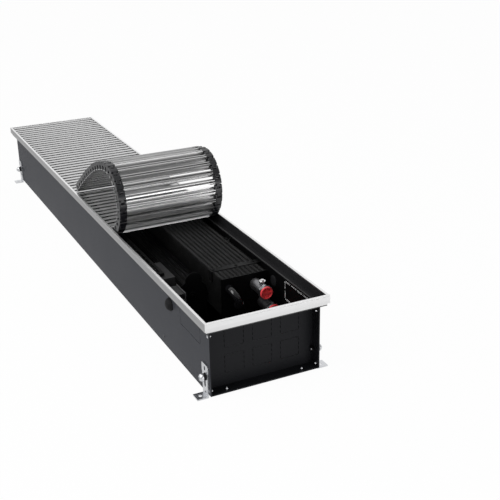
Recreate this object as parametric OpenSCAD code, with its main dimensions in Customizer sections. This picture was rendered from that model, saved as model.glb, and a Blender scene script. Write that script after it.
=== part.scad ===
// Trench convector heater with a roll-up grille, half rolled back from its near end.
// Frame: X across the trough, Y along it, Z up, millimetres, feet on z = 0.
// The near end (-Y) carries the pipe connections; the grille is rolled back from there.

/* [Trough] */
// Outside width of the sheet trough
trough_w = 222.6; // [216:0.2:260]
// Length of the sheet trough
trough_l = 1400; // [1300:10:2400]
// Height of the trough from its underside to its top edge
trough_h = 132; // [128:1:170]
// Height of the trough floor above the feet
floor_gap = 6; // [5:1:30]
// Sheet thickness of trough and end plates
sheet_t = 1.2; // [0.8:0.1:2]
// Width of the lip along the top edge of the trough
lip_w = 8; // [5:0.5:9]
// Depth of the recess in each end plate
end_recess = 25; // [20:1:40]

/* [Edge frame] */
// Distance from trough side to the outer face of the edge frame, long sides
frame_out_x = 12.7; // [11:0.1:16]
// Distance from trough end to the outer face of the edge frame, short sides
frame_out_y = 13; // [12:0.1:16]
// Height of the edge frame above its ledge
frame_rise = 20; // [19.5:0.1:26]
// Depth of the outer skirt of the edge frame
skirt_h = 16; // [10:1:20]
// Length of each leg of the corner keys
key_leg = 30; // [15:1:50]

/* [Grille] */
// Distance from one slat to the next
slat_pitch = 20.5; // [19:0.1:24]
// Height of one slat
slat_h = 18; // [16:0.5:19]
// Width of the top of one slat
slat_top_w = 12.3; // [8:0.1:14]
// Wall of the extruded slat
slat_wall = 1.2; // [0.8:0.1:2]
// Height of the link pivots above the slat underside
pivot_h = 5; // [4.5:0.1:7]
// Radius of the link pegs
peg_r = 1.6; // [1.2:0.05:2]
// How far the roll is closed, 1 = its end lies on the grille
roll_share = 1; // [0.3:0.05:1]

/* [Heat exchanger] */
// Width of the fin block
fin_w = 98; // [80:1:98]
// Height of the fin block
fin_h = 80; // [70:1:84]
// Distance between fins
fin_pitch = 16; // [8:1:40]
// Height of the waves in a fin, each way
fin_wave = 2; // [0.5:0.1:3]
// Outside radius of the water tubes
tube_r = 7.5; // [6:0.1:8]
// Wall of the water tubes
tube_wall = 0.8; // [0.5:0.1:1.2]

/* [Fan] */
// Radius of the fan rotor
rotor_r = 25; // [20:0.5:26]
// Number of fan blades
blade_count = 16; // [10:1:24]
// Thickness of the fan housing
shell_t = 2; // [1.2:0.1:3]
// Radius of the fan shaft
shaft_r = 2.5; // [2:0.1:4]

/* [Levelling brackets] */
// Thickness of the bracket steel
bracket_t = 2.5; // [1.5:0.1:4]
// Width of the bracket strip
bracket_w = 22; // [16:1:24]
// Reach of the foot from the trough side
foot_reach = 22.8; // [20:0.1:40]
// Radius of the screw hole in each foot
foot_hole_r = 3.5; // [2.5:0.1:4]
// Radius of the clamping bolts
bolt_r = 3; // [2:0.1:3]

/* [Fits] */
// Gap between pieces that move past each other
slide_gap = 0.3; // [0.2:0.05:0.4]
// Gap of a turning or push fit, on the radius
run_gap = 0.06; // [0.03:0.01:0.1]
// Gap between nested fixed pieces
nest_gap = 0.1; // [0.05:0.01:0.2]

/* [Hidden] */
$fn = 48;
half_w = trough_w / 2;
half_l = trough_l / 2;
floor_top = floor_gap + sheet_t;
rim_z = floor_gap + trough_h;
wall_in = half_w - sheet_t;
// edge frame
frame_x = half_w + frame_out_x;
frame_y = half_l + frame_out_y;
skirt_t = 1.4;
channel_w = 2.2;
post_t = 1.6;
ledge_t = 1.8;
ledge_w = 16;
roof_t = 2;
ledge_z = rim_z + ledge_t;
frame_top = ledge_z + frame_rise;
mitre_gap = 0.15;
post_out = skirt_t + channel_w;
post_in = post_out + post_t;
key_h = 12;
strip_h = 1;
// grille
rolled = 25;
slat_z = ledge_z + strip_h + slide_gap;
flange_t = 1.5;
slat_len = 2 * (frame_x - post_in) - 1.6;
link_len = 16;
link_out = slat_len / 2 - 1;
link_in = link_out - link_len;
leg_out = 3.5;
leg_in = leg_out - slat_wall;
block_half = slat_pitch / 2 - 4.65;
knuckle_r = 4;
peg_hole_r = peg_r + run_gap;
ear_w = 4;
slat_count = floor((2 * (frame_y - post_in) - 0.6) / slat_pitch);
laid_count = slat_count - rolled;
grille_near = -slat_count * slat_pitch / 2;
roll_y = grille_near + rolled * slat_pitch;
// heat exchanger
fin_x0 = half_w - 9.3 - fin_w;
fin_z0 = rim_z - 8 - fin_h;
fin_y0 = -half_l + 200;
fin_y1 = half_l - 110;
fin_t = 0.4;
fin_steps = 8;
fin_step = fin_w / fin_steps;
fin_count = floor((fin_y1 - fin_y0 - 18) / fin_pitch) + 1;
fin_first = (fin_y0 + fin_y1 - (fin_count - 1) * fin_pitch) / 2;
tube_a = [fin_x0 + 14, fin_z0 + fin_h - 20];
tube_b = [fin_x0 + 32, fin_z0 + 22];
tube_c = [fin_x0 + fin_w - 12, fin_z0 + 18];
tube_d = [fin_x0 + fin_w - 28, fin_z0 + fin_h - 20];
tubes = [tube_a, tube_b, tube_c, tube_d];
plate_t = 1.5;
tube_near = fin_y0 - 12;
tube_far = fin_y1 + 12;
fitting_r = 12;
fitting_y0 = fin_y0 - 55.5;
fitting_y1 = fin_y0 - 5;
socket_r = 9.3;
socket_len = 12;
cap_r = 13;
cap_y0 = fin_y0 - 60.3;
cap_y1 = fitting_y0 - slide_gap;
bleed_y = fin_y0 - 40;
bleed_seat = tube_d[1] + 15;
// fan
fan_x = -half_w + 77.3;
fan_z = rim_z - 58;
fan_y0 = -half_l + 260;
fan_y1 = half_l - 320;
shell_in = rotor_r + 4;
shell_out = shell_in + shell_t;
fan_plate_t = 2;
bearing_r = 8;
arch_r = 17.5;
motor_y0 = fan_y1 + fan_plate_t + 2;
motor_y1 = motor_y0 + 56;
motor_r = 24;
// connection side
board_t = 1.5;
board_x = -wall_in + board_t;
box_y0 = -half_l + 195;
box_y1 = box_y0 + 42;
drive_y0 = box_y1 + 20;
drive_y1 = drive_y0 + 83;
cable_r = 3.5;
cable_x = -wall_in + cable_r;
cable_z = rim_z - 23;
guard_y0 = -half_l + 272;
guard_y1 = half_l - 100;
grommet_y = -half_l + 181;
grommet_z = rim_z - 26;
grommet_r = 10;
rivet_r = 1.6;
// levelling brackets
bracket_y = half_l - 18.4;
bracket_x = half_w + slide_gap;
bolt_z = floor_gap + 33;
washer_t = 4;
clamp_x = bracket_x + bracket_t + slide_gap;
foot_hole_x = half_w + foot_reach - 9.8;

// ---------- helpers ----------
module box(x0, x1, y0, y1, z0, z1) {
  translate([x0, y0, z0]) cube([x1 - x0, y1 - y0, z1 - z0]);
}
module rod_x(y, z, r, x0, x1) {
  translate([x0, y, z]) rotate([0, 90, 0]) cylinder(r = r, h = x1 - x0);
}
module rod_y(x, z, r, y0, y1) {
  translate([x, y1, z]) rotate([90, 0, 0]) cylinder(r = r, h = y1 - y0);
}
module rod_z(x, y, r, z0, z1) {
  translate([x, y, z0]) cylinder(r = r, h = z1 - z0);
}
// profile given in X and Z, drawn out along Y
module along_y(y0, y1) {
  translate([0, y1, 0]) rotate([90, 0, 0]) linear_extrude(height = y1 - y0) children();
}
// profile given in Y and Z, drawn out along X
module along_x(x0, x1) {
  translate([x0, 0, 0]) rotate([90, 0, 90]) linear_extrude(height = x1 - x0) children();
}
// copies of a piece of the +X +Y quarter
module to_side(side) {
  if (side < 0) mirror([1, 0, 0]) children();
  else children();
}
module to_end(end) {
  if (end < 0) mirror([0, 1, 0]) children();
  else children();
}

// ---------- trough ----------
// width of a knock-out's slit and half of the bridge between two dashes
slit = 1.1;
bridge = 1.6;
// dashed slit round a knock-out in a wall normal to X
module knock_out_x(x0, x1, y0, y1, z0, z1, ny, nz) {
  sy = (y1 - y0) / ny;
  sz = (z1 - z0) / nz;
  for (i = [0 : ny - 1])
    for (z = [z0, z1 - slit])
      box(x0, x1, y0 + i * sy + bridge, y0 + (i + 1) * sy - bridge, z, z + slit);
  for (i = [0 : nz - 1])
    for (y = [y0, y1 - slit])
      box(x0, x1, y, y + slit, z0 + i * sz + bridge, z0 + (i + 1) * sz - bridge);
}
// dashed slit round a knock-out in a wall normal to Y
module knock_out_y(y0, y1, x0, x1, z0, z1, nx, nz) {
  sx = (x1 - x0) / nx;
  sz = (z1 - z0) / nz;
  for (i = [0 : nx - 1])
    for (z = [z0, z1 - slit])
      box(x0 + i * sx + bridge, x0 + (i + 1) * sx - bridge, y0, y1, z, z + slit);
  for (i = [0 : nz - 1])
    for (x = [x0, x1 - slit])
      box(x, x + slit, y0, y1, z0 + i * sz + bridge, z0 + (i + 1) * sz - bridge);
}
module trough_profile() {
  polygon([[-half_w - lip_w, rim_z], [-half_w - lip_w, rim_z - sheet_t],
           [-half_w, rim_z - sheet_t], [-half_w, floor_gap], [half_w, floor_gap],
           [half_w, rim_z - sheet_t], [half_w + lip_w, rim_z - sheet_t],
           [half_w + lip_w, rim_z], [wall_in, rim_z], [wall_in, floor_top],
           [-wall_in, floor_top], [-wall_in, rim_z]]);
}
// rivet places on the end flanges: upper and lower on each wall, two in the floor
end_rivet_y = half_l - 7;
end_rivet_z = rim_z - 14;
flush_rivet_z = floor_gap + 8;
flush_r = 2.8;
end_rivet_x = 77;
board_rivet = [[-half_l + 219, rim_z - 12], [-half_l + 226, floor_gap + 16]];
clip_rivet_y = 387;
clip_rivet_z = rim_z - 12;
module trough() {
  color("#4a4c50")
  difference() {
    along_y(-half_l, half_l) trough_profile();
    for (side = [-1, 1]) to_side(side) {
      for (end = [-1, 1]) to_end(end) {
        rod_x(bracket_y, bolt_z, bolt_r + nest_gap, wall_in - 1, half_w + 1);
        for (z = [end_rivet_z, flush_rivet_z]) {
          translate([half_w - 2 * sheet_t, end_rivet_y, z]) rotate([0, 90, 0])
            cylinder(r1 = 2 * rivet_r - flush_r, r2 = 2 * flush_r - rivet_r, h = 3 * sheet_t);
          rod_x(end_rivet_y, z, rivet_r, wall_in - 1, half_w - sheet_t / 2);
        }
        rod_z(end_rivet_x, end_rivet_y, rivet_r, floor_gap - 1, floor_top + 1);
      }
      rod_x(grommet_y, grommet_z, grommet_r, wall_in - 1, half_w + 1);
      knock_out_x(wall_in - 1, half_w + 1, -half_l + 39.7, -half_l + 133.8,
                  rim_z - 45.2, rim_z - 6.5, 4, 2);
    }
    for (p = board_rivet) rod_x(p[0], p[1], rivet_r, -half_w - 1, -wall_in + 1);
    for (end = [-1, 1]) to_end(end)
      rod_x(half_l - clip_rivet_y, clip_rivet_z, rivet_r, wall_in - 1, half_w + 1);
  }
}
// pressed tray that closes one end, drawn for the far end
plate_in = half_l - end_recess;
tray_x = wall_in - nest_gap;
ko_pitch = 56.6;
ko_w = 39.5;
ko_h = 38.5;
ko_mid = 3.9;
ko_rows = [floor_gap + 25.2, floor_gap + 77.8];
module end_tray() {
  difference() {
    box(-tray_x, tray_x, plate_in, half_l, floor_top, rim_z);
    box(-tray_x + sheet_t, tray_x - sheet_t, plate_in + sheet_t, half_l + 1,
        floor_top + sheet_t, rim_z - sheet_t);
    for (side = [-1, 1]) to_side(side) {
      rod_x(bracket_y, bolt_z, bolt_r + nest_gap, tray_x - sheet_t - 1, tray_x + 1);
      for (z = [end_rivet_z, flush_rivet_z])
        rod_x(end_rivet_y, z, rivet_r, tray_x - sheet_t - 1, tray_x + 1);
      rod_z(end_rivet_x, end_rivet_y, rivet_r, floor_top - 1, floor_top + sheet_t + 1);
    }
    for (i = [-1 : 1])
      for (z = ko_rows)
        knock_out_y(plate_in - 1, plate_in + sheet_t + 1, ko_mid + i * ko_pitch - ko_w / 2,
                    ko_mid + i * ko_pitch + ko_w / 2, z, z + ko_h, 4, 4);
  }
}
module end_plate_near() { color("#3a3c40") mirror([0, 1, 0]) end_tray(); }
module end_plate_far() { color("#3a3c40") end_tray(); }

// ---------- edge frame ----------
// section of the frame profile, u inward from its outer face, v up from its top
module frame_profile() {
  polygon([[0, 0], [0, -skirt_h], [skirt_t, -skirt_h], [skirt_t, -roof_t],
           [post_out, -roof_t], [post_out, -frame_rise], [post_in, -frame_rise],
           [post_in, 0]]);
}
module frame_side() {
  m = mitre_gap;
  intersection() {
    translate([-frame_x, frame_y, frame_top]) rotate([90, 0, 0])
      linear_extrude(height = 2 * frame_y) frame_profile();
    translate([0, 0, frame_top - 40]) linear_extrude(height = 60)
      polygon([[-frame_x, -frame_y + m], [-frame_x, frame_y - m],
               [-frame_x + ledge_w, frame_y - m - ledge_w],
               [-frame_x + ledge_w, -frame_y + m + ledge_w]]);
  }
}
module frame_end() {
  m = mitre_gap;
  intersection() {
    translate([-frame_x, -frame_y, frame_top]) rotate([90, 0, 90])
      linear_extrude(height = 2 * frame_x) frame_profile();
    translate([0, 0, frame_top - 40]) linear_extrude(height = 60)
      polygon([[-frame_x + m, -frame_y], [frame_x - m, -frame_y],
               [frame_x - m - ledge_w, -frame_y + ledge_w],
               [-frame_x + m + ledge_w, -frame_y + ledge_w]]);
  }
}
module frame_left() { color("#c9cbcd") frame_side(); }
module frame_right() { color("#c9cbcd") mirror([1, 0, 0]) frame_side(); }
module frame_near() { color("#c9cbcd") frame_end(); }
module frame_far() { color("#c9cbcd") mirror([0, 1, 0]) frame_end(); }
module frame_corner_keys() {
  a = skirt_t + nest_gap;
  b = post_out - nest_gap;
  z1 = frame_top - roof_t;
  color("#9da0a4")
  for (side = [-1, 1]) to_side(side)
    for (end = [-1, 1]) to_end(end)
      union() {
        box(frame_x - b, frame_x - a, frame_y - key_leg, frame_y - a, z1 - key_h, z1);
        box(frame_x - key_leg, frame_x - a, frame_y - b, frame_y - a, z1 - key_h, z1);
      }
}
// flat rails clamped between the frame and the trough's top edge; the grille lies on them
module grille_rails() {
  x = frame_x - ledge_w;
  y = frame_y - post_out;
  color("#3a3c40") {
    for (side = [-1, 1]) to_side(side)
      box(x, frame_x - post_out, -y, y, rim_z, ledge_z);
    for (end = [-1, 1]) to_end(end)
      box(nest_gap - x, x - nest_gap, frame_y - ledge_w, y, rim_z, ledge_z);
  }
}
module seat_strips() {
  color("#202022")
  for (side = [-1, 1]) to_side(side)
    box(frame_x - ledge_w + 2.4, frame_x - post_in - 0.4, -frame_y + ledge_w + 1,
        frame_y - ledge_w - 1, ledge_z, ledge_z + strip_h);
}

// ---------- fasteners and bearings ----------
// blind rivet along +X, head outside at x = 0, sheets g thick behind it
module blind_rivet(g, tail = 3.2) {
  rotate([0, -90, 0])
    rotate_extrude()
      polygon([[0, 1.4], [1.6, 1.3], [2.7, 0.8], [3.3, 0], [rivet_r, 0], [rivet_r, -g],
               [2.4, -g], [2.4, -g - tail + 1.2], [1.8, -g - tail], [0, -g - tail]]);
}
// countersunk blind rivet along +X, face at x = 0, in sheets g thick in all
module flush_rivet(g) {
  rotate([0, -90, 0])
    rotate_extrude()
      polygon([[0, 0], [flush_r, 0], [rivet_r, -sheet_t], [rivet_r, -g],
               [2.4, -g], [2.4, -g - 3.3], [1.8, -g - 4.5], [0, -g - 4.5]]);
}
// pan head screw, underside of the head at z = 0
module pan_screw(r, len) {
  difference() {
    rotate_extrude()
      polygon([[0, 1.8], [r, 1.7], [2 * r - 0.1, 0.9], [2 * r, 0], [r, 0], [r, -len], [0, -len]]);
    box(-2 * r, 2 * r, -0.35, 0.35, 1, 3);
  }
}
strap_y0 = fin_y0 + 39;
strap_y1 = strap_y0 + 16;
strap_z = fin_z0 + fin_h;
strap_screw_x = [fin_x0 + 4, fin_x0 + fin_w / 2 + 5, fin_x0 + fin_w - 6];
clip_t = 1.2;
module small_hardware() {
  g = 2 * sheet_t + nest_gap;
  color("#d2d4d6") {
    for (end = [-1, 1]) to_end(end)
      for (side = [-1, 1]) to_side(side) {
        for (z = [end_rivet_z, flush_rivet_z])
          translate([half_w, end_rivet_y, z]) mirror([1, 0, 0]) flush_rivet(g);
        translate([end_rivet_x, end_rivet_y, floor_gap]) rotate([0, -90, 0])
          blind_rivet(2 * sheet_t, 5);
      }
    for (p = board_rivet) translate([-half_w, p[0], p[1]]) blind_rivet(sheet_t + board_t);
    for (end = [-1, 1]) to_end(end)
      translate([half_w, half_l - clip_rivet_y, clip_rivet_z]) mirror([1, 0, 0])
        blind_rivet(sheet_t + clip_t);
    for (x = strap_screw_x)
      translate([x, (strap_y0 + strap_y1) / 2, strap_z + plate_t]) pan_screw(1.6, plate_t + 3);
    for (z = [-10, 10])
      translate([lid_x + lid_t, (box_y0 + box_y1) / 2, box_mid_z + z]) rotate([0, 90, 0])
        pan_screw(1.4, lid_t + 6);
    for (end = [-1, 1]) to_end(end)
      for (side = [-1, 1]) to_side(side) clamp_nut();
    fan_bearings();
  }
}
// nut of one bracket, inside the end plate, drawn for +X +Y
module clamp_nut() {
  difference() {
    translate([nut_x, bracket_y, bolt_z]) rotate([0, 90, 0])
      cylinder(r = 5 / cos(30), h = nut_t, $fn = 6);
    rod_x(bracket_y, bolt_z, bolt_r, nut_x - 1, nut_x + nut_t + 1);
  }
}
// round-headed clamping bolt of one bracket, drawn for +X +Y
module clamp_bolt() {
  x1 = clamp_x + washer_t;
  rod_x(bracket_y, bolt_z, bolt_r, nut_x - 1.5, x1 + 1);
  translate([x1, bracket_y, bolt_z]) rotate([0, 90, 0])
    difference() {
      intersection() {
        cylinder(r = 7.8, h = 7);
        translate([0, 0, 7 - 8.5]) sphere(r = 8.5);
      }
      translate([0, 0, 4]) cylinder(r = 2.6, h = 5, $fn = 6);
    }
}
nut_t = 5;
nut_x = tray_x - sheet_t - nut_t;
module bracket_bolts() {
  color("#d2d4d6")
  for (side = [-1, 1]) to_side(side)
    for (end = [-1, 1]) to_end(end) {
      union() { clamp_bolt(); }
      difference() {
        rod_x(bracket_y, bolt_z, 6.75, clamp_x, clamp_x + washer_t);
        rod_x(bracket_y, bolt_z, bolt_r + nest_gap, clamp_x - 1, clamp_x + washer_t + 1);
      }
    }
}

// ---------- levelling brackets ----------
slot_low = bolt_z - 20;
slot_high = bolt_z + 9;
bracket_top = bolt_z + 26;
module slot_hole(r, z0, z1) {
  rod_x(bracket_y, z0 + r, r, bracket_x - 1, bracket_x + bracket_t + 1);
  rod_x(bracket_y, z1 - r, r, bracket_x - 1, bracket_x + bracket_t + 1);
  box(bracket_x - 1, bracket_x + bracket_t + 1, bracket_y - r, bracket_y + r, z0 + r, z1 - r);
}
module bracket_piece() {
  hw = bracket_w / 2;
  xo = half_w + foot_reach;
  difference() {
    union() {
      along_y(bracket_y - hw, bracket_y + hw)
        polygon([[bracket_x, 0], [xo, 0], [xo, bracket_t], [bracket_x + bracket_t, bracket_t],
                 [bracket_x + bracket_t, bracket_top - 17], [bracket_x, bracket_top - 17]]);
      along_x(bracket_x, bracket_x + bracket_t)
        polygon([[bracket_y - hw, bracket_top - 20], [bracket_y + hw, bracket_top - 20],
                 [bracket_y + hw + 2, bracket_top - 16], [bracket_y + hw + 2, bracket_top - 2],
                 [bracket_y + hw, bracket_top], [bracket_y - hw, bracket_top],
                 [bracket_y - hw - 2, bracket_top - 2], [bracket_y - hw - 2, bracket_top - 16]]);
    }
    slot_hole(bolt_r + slide_gap, slot_low, slot_high);
    slot_hole(2.8, bracket_top - 13, bracket_top - 4);
    rod_x(bracket_y, bracket_t + 6, 2, bracket_x - 1, bracket_x + bracket_t + 1);
    rod_z(foot_hole_x, bracket_y, foot_hole_r, -1, bracket_t + 1);
  }
}
module level_bracket(side, end) {
  color("#d7d9db") to_side(side) to_end(end) bracket_piece();
}
module level_bracket_near_left() { level_bracket(-1, -1); }
module level_bracket_near_right() { level_bracket(1, -1); }
module level_bracket_far_left() { level_bracket(-1, 1); }
module level_bracket_far_right() { level_bracket(1, 1); }

// ---------- grommets, motor cable and its clips ----------
module grommet() {
  rotate([0, -90, 0])
    rotate_extrude()
      polygon([[0, 9.6], [4.5, 9.5], [8.5, 8], [11.4, 5], [13, 1.6], [13, 0], [grommet_r, 0],
               [grommet_r, -sheet_t], [12, -sheet_t], [12, -sheet_t - 1.2], [9, -sheet_t - 2.6],
               [0, -sheet_t - 2.6]]);
}
turn_y = fan_y1 + 24;
term_x = fan_x - 24;
module motor_cable() {
  union() {
    rod_y(cable_x, cable_z, cable_r, drive_y1, turn_y);
    translate([cable_x + 12, turn_y, cable_z]) rotate([0, 0, 90])
      rotate_extrude(angle = 90) translate([12, 0]) circle(r = cable_r);
    rod_x(turn_y + 12, cable_z, cable_r, cable_x + 12, term_x);
  }
}
clip_step = (turn_y - drive_y1) / 4;
module cables_and_grommets() {
  color("#1c1c1e") {
    translate([-half_w, grommet_y, grommet_z]) grommet();
    mirror([1, 0, 0]) translate([-half_w, grommet_y, grommet_z]) grommet();
    motor_cable();
    for (i = [0 : 3])
      difference() {
        box(-wall_in, cable_x + cable_r + 1, drive_y1 + (i + 0.5) * clip_step - 4,
            drive_y1 + (i + 0.5) * clip_step + 4, cable_z - cable_r - 1, cable_z + cable_r + 1);
        rod_y(cable_x, cable_z, cable_r, drive_y1, turn_y);
      }
  }
}

// ---------- heat exchanger ----------
module fin_outline() {
  polygon(concat(
    [for (k = [0 : fin_steps]) [fin_x0 + k * fin_step, (k % 2 == 0 ? -fin_wave : fin_wave)]],
    [for (k = [0 : fin_steps]) [fin_x0 + (fin_steps - k) * fin_step,
                                ((fin_steps - k) % 2 == 0 ? -fin_wave : fin_wave) + fin_t]]));
}
module one_fin(y) {
  difference() {
    translate([0, y, fin_z0]) linear_extrude(height = fin_h) fin_outline();
    for (t = tubes) rod_y(t[0], t[1], tube_r, y - fin_wave - 1, y + fin_wave + 2);
  }
}
module exchanger_fins() {
  color("#26272a") for (i = [0 : fin_count - 1]) one_fin(fin_first + i * fin_pitch);
}
module tube(t, y0) {
  difference() {
    rod_y(t[0], t[1], tube_r, y0, tube_far);
    rod_y(t[0], t[1], tube_r - tube_wall, y0 - 1, tube_far + 1);
  }
}
module exchanger_tubes() {
  color("#2c2d30") {
    tube(tube_a, tube_near);
    tube(tube_b, tube_near);
    tube(tube_c, fin_y0 - 15);
    tube(tube_d, fin_y0 - 15);
  }
}
// return bend between two tubes, beyond y, towards end (+1 or -1)
module return_bend(p, q, y, end) {
  dx = q[0] - p[0];
  dz = q[1] - p[1];
  reach = norm([dx, dz]) / 2;
  translate([(p[0] + q[0]) / 2, y, (p[1] + q[1]) / 2])
    rotate([0, -atan2(dz, dx), 0]) rotate([0, 0, end < 0 ? 180 : 0])
      difference() {
        union() {
          rotate_extrude(angle = 180) translate([reach, 0]) circle(r = tube_r);
          for (s = [-1, 1])
            translate([s * reach, 2, 0]) rotate([90, 0, 0]) cylinder(r = tube_r + 1, h = 8);
        }
        rotate_extrude(angle = 180) translate([reach, 0]) circle(r = tube_r - tube_wall);
        for (s = [-1, 1])
          translate([s * reach, 0, 0]) rotate([90, 0, 0]) cylinder(r = tube_r, h = 7);
      }
}
module return_bends() {
  color("#7d6a58") {
    return_bend(tube_a, tube_b, tube_near, -1);
    return_bend(tube_a, tube_d, tube_far, 1);
    return_bend(tube_b, tube_c, tube_far, 1);
  }
}
// end support with a foot, drawn for the near end; y is its outer face
module end_support(y, end) {
  x0 = fin_x0 - 2;
  x1 = fin_x0 + fin_w + 2;
  difference() {
    union() {
      box(x0, x1, end < 0 ? y : y - plate_t, end < 0 ? y + plate_t : y, floor_top, strap_z + 1);
      box(x0, x1, end < 0 ? y : y - 18, end < 0 ? y + 18 : y, floor_top, floor_top + plate_t);
    }
    for (t = tubes) rod_y(t[0], t[1], tube_r, y - 5, y + 5);
    box(x0 + 16, x1 - 16, y - 5, y + 5, floor_top + 8, fin_z0 - 6);
  }
}
module exchanger_supports() {
  color("#2a2b2e") {
    end_support(fin_y0 - 3, -1);
    end_support(fin_y1 + 3, 1);
    difference() {
      union() {
        box(fin_x0 - 3, wall_in, strap_y0, strap_y1, strap_z, strap_z + plate_t);
        box(fin_x0 - 3, fin_x0 - 1.5, strap_y0, strap_y1, strap_z - 20, strap_z + plate_t);
        box(wall_in - plate_t, wall_in, strap_y0, strap_y1, strap_z - 12, strap_z + plate_t);
      }
      for (x = strap_screw_x)
        rod_z(x, (strap_y0 + strap_y1) / 2, 1.6, strap_z - 1, strap_z + plate_t + 1);
    }
    for (end = [-1, 1]) to_end(end)
      difference() {
        union() {
          box(wall_in - clip_t, wall_in, half_l - clip_rivet_y - 7, half_l - clip_rivet_y + 7,
              strap_z - 8, strap_z + 6);
          box(fin_x0 + fin_w - 4, wall_in, half_l - clip_rivet_y - 7, half_l - clip_rivet_y + 7,
              strap_z, strap_z + clip_t);
        }
        rod_x(half_l - clip_rivet_y, clip_rivet_z, rivet_r, wall_in - 5, wall_in + 1);
      }
  }
}

// ---------- pipe connections ----------
module fitting(t) {
  difference() {
    union() {
      rod_y(t[0], t[1], fitting_r, fitting_y0 + 1, fitting_y1);
      translate([t[0], fitting_y0 + 9, t[1]]) rotate([90, 0, 0]) cylinder(r = 15, h = 9, $fn = 6);
    }
    rod_y(t[0], t[1], tube_r, fin_y0 - 15, fitting_y1 + 1);
    rod_y(t[0], t[1], tube_r - tube_wall, fitting_y0 - 1, fitting_y1);
    rod_y(t[0], t[1], socket_r, fitting_y0 - 1, fitting_y0 + socket_len);
  }
}
module pipe_header() {
  color("#8b8e92") {
    difference() {
      union() {
        fitting(tube_d);
        difference() {
          rod_z(tube_d[0], bleed_y, 6, tube_d[1] + 8, bleed_seat);
          rod_y(tube_d[0], tube_d[1], tube_r + 1, fitting_y0, fitting_y1);
        }
      }
      rod_z(tube_d[0], bleed_y, 3, tube_d[1] + 5, bleed_seat + 1);
    }
    fitting(tube_c);
  }
}
module bleed_valve() {
  color("#c8cacc")
  difference() {
    union() {
      rod_z(tube_d[0], bleed_y, 3, tube_d[1] + 8, bleed_seat + 1);
      translate([tube_d[0], bleed_y, bleed_seat]) cylinder(r = 7, h = 4, $fn = 6);
    }
    rod_z(tube_d[0], bleed_y, 1.5 + run_gap, tube_d[1] + 7, bleed_seat + 5);
  }
}
module bleed_screw() {
  color("#dcdddf")
  difference() {
    union() {
      rod_z(tube_d[0], bleed_y, 1.5, tube_d[1] + 10, bleed_seat + 5);
      rod_z(tube_d[0], bleed_y, 3.4, bleed_seat + 4.3, bleed_seat + 6.3);
    }
    box(tube_d[0] - 4, tube_d[0] + 4, bleed_y - 0.4, bleed_y + 0.4, bleed_seat + 5.3, bleed_seat + 7);
  }
}
// protective plug of a pipe connection: a flange with a sunk ribbed face and a hollow spigot
module pipe_cap(t) {
  color("#c8323c")
  difference() {
    union() {
      rod_y(t[0], t[1], cap_r, cap_y0, cap_y1);
      rod_y(t[0], t[1], socket_r - run_gap, cap_y1 - 0.5, fitting_y0 + 9);
    }
    rod_y(t[0], t[1], socket_r - 1.8, cap_y1, fitting_y0 + 10);
    difference() {
      rod_y(t[0], t[1], cap_r - 2.8, cap_y0 - 1, cap_y0 + 2.5);
      box(t[0] - cap_r, t[0] + cap_r, cap_y0 + 0.8, cap_y0 + 3, t[1] - 1.4, t[1] + 1.4);
      box(t[0] - 1.4, t[0] + 1.4, cap_y0 + 0.8, cap_y0 + 3, t[1] - cap_r, t[1] + cap_r);
    }
  }
}
module supply_cap() { pipe_cap(tube_c); }
module return_cap() { pipe_cap(tube_d); }

// ---------- fan ----------
module fan_shell_profile() {
  drop = fan_z - floor_top;
  difference() {
    circle(r = shell_out);
    circle(r = shell_in);
    translate([-60, -100]) square([120, 94]);
  }
  for (a = [25 : 16.25 : 155]) rotate(a) translate([shell_out - 0.3, -0.8]) square([2.5, 1.6]);
  translate([-shell_out, -drop]) square([shell_t, drop - 5]);
  translate([-shell_out - 12, -drop]) square([13, 1.5]);
  translate([shell_in - 1, -6]) square([fin_x0 - fan_x - shell_in - 1, 1.5]);
}
module tongue_profile() {
  drop = fan_z - floor_top;
  translate([rotor_r - 1, -drop]) square([1.5, drop - 26]);
  translate([rotor_r - 1, -27.5]) square([fin_x0 - fan_x - rotor_r - 1, 1.5]);
  translate([rotor_r - 1, -drop]) square([10, 1.5]);
}
module fan_housing() {
  color("#1f2022") {
    translate([fan_x, fan_y1, fan_z]) rotate([90, 0, 0])
      linear_extrude(height = fan_y1 - fan_y0) fan_shell_profile();
    translate([fan_x, fan_y1, fan_z]) rotate([90, 0, 0])
      linear_extrude(height = fan_y1 - fan_y0) tongue_profile();
  }
}
// rounded end plate standing on the floor
module fan_plate_profile() {
  drop = fan_z - floor_top;
  top = rim_z - 9 - arch_r - fan_z;
  difference() {
    union() {
      circle(r = shell_out + 2);
      translate([3.5 - arch_r, 0]) square([2 * arch_r, top]);
      translate([3.5, top]) circle(r = arch_r);
      translate([-shell_out, -drop]) square([2 * shell_out, drop]);
    }
    circle(r = bearing_r);
  }
}
module fan_brackets() {
  color("#26272a") {
    union() {
      translate([fan_x, fan_y0, fan_z]) rotate([90, 0, 0])
        linear_extrude(height = fan_plate_t) fan_plate_profile();
      box(fan_x - shell_out, fan_x + shell_out, fan_y0 - 14, fan_y0, floor_top, floor_top + 2);
    }
    union() {
      translate([fan_x, fan_y1 + fan_plate_t, fan_z]) rotate([90, 0, 0])
        linear_extrude(height = fan_plate_t) fan_plate_profile();
      box(fan_x - shell_out, fan_x + shell_out, fan_y1, fan_y1 + fan_plate_t, floor_top, floor_top + 2);
    }
    difference() {
      union() {
        box(-wall_in, board_x, box_y0, guard_y0 - 2, rim_z - 48, rim_z - 8);
        box(-wall_in, board_x, -half_l + 212, -half_l + 242, floor_gap + 8, rim_z - 47);
      }
      for (p = board_rivet) rod_x(p[0], p[1], rivet_r, -wall_in - 1, board_x + 1);
    }
  }
}
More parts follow.
